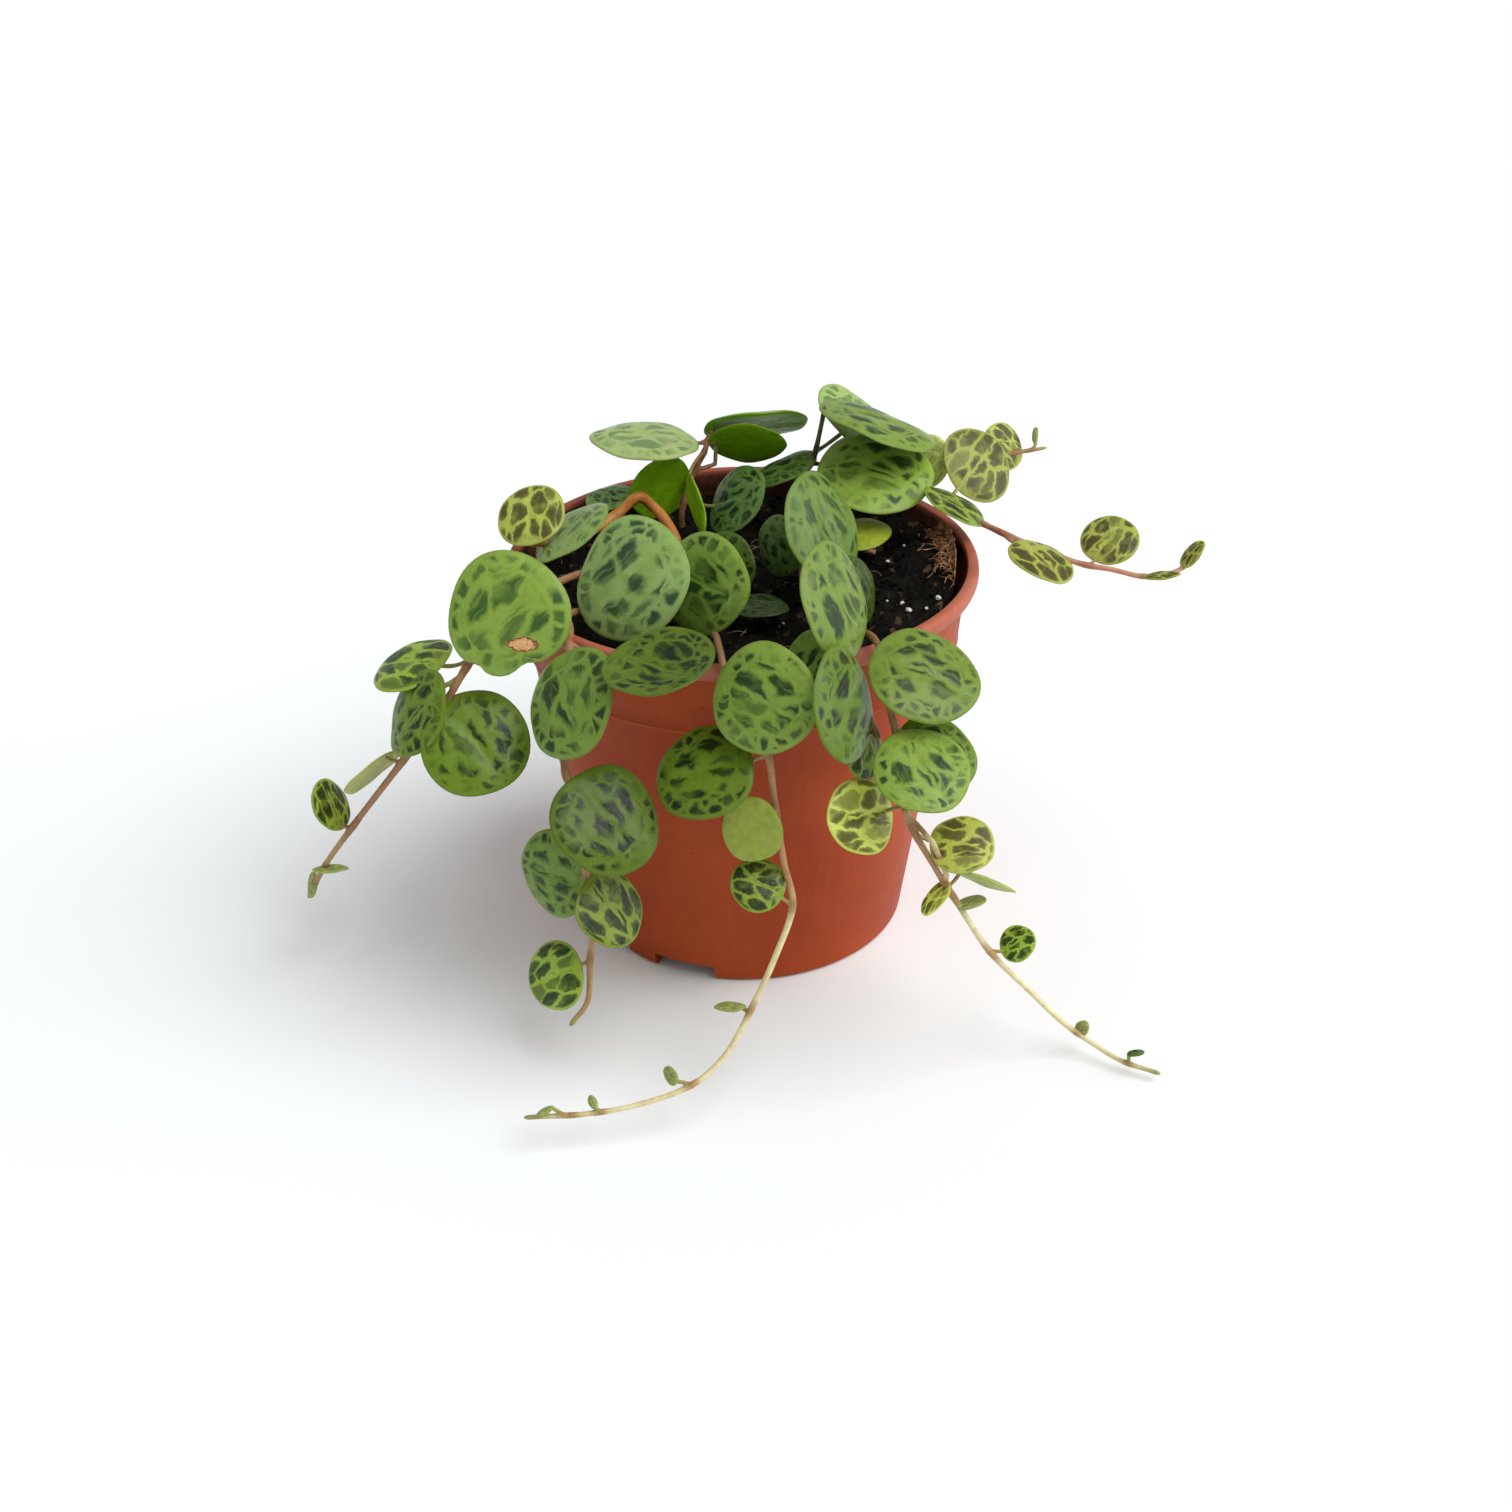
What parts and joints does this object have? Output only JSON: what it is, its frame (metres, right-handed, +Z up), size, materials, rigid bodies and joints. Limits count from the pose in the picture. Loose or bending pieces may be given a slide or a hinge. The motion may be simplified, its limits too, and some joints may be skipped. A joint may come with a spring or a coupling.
{
  "type": "potted peperomia",
  "caption": "Small tapered pot of soil with thin trailing stems of round patterned leaves that spill over its rim and hang down its sides.",
  "frame": {"origin": "centre of the pot's flat underside, on the surface that it stands on", "axes": "+Z up along the pot's axis, -Y towards the front where most stems hang down, +X to the right seen from the front"},
  "size_m": [0.1176, 0.0944, 0.0654],
  "materials": {
    "pot_plastic": "matte terracotta-coloured plastic",
    "potting_soil": "rough dark peat with pale grains",
    "foliage": "satin fleshy leaf, light green veins round dark green patches"
  },
  "bodies": {
    "root": {"pot": "pot_plastic", "soil": "potting_soil", "stem_left_long": "foliage", "stem_front_left": "foliage", "stem_front_centre": "foliage", "stem_front_right": "foliage", "stem_right_far": "foliage", "stem_right_back": "foliage", "stem_upright_left": "foliage", "stem_middle": "foliage", "stem_left_arched": "foliage", "stem_upright_right": "foliage", "stem_column": "foliage", "stem_back": "foliage"}
  },
  "joints": []
}
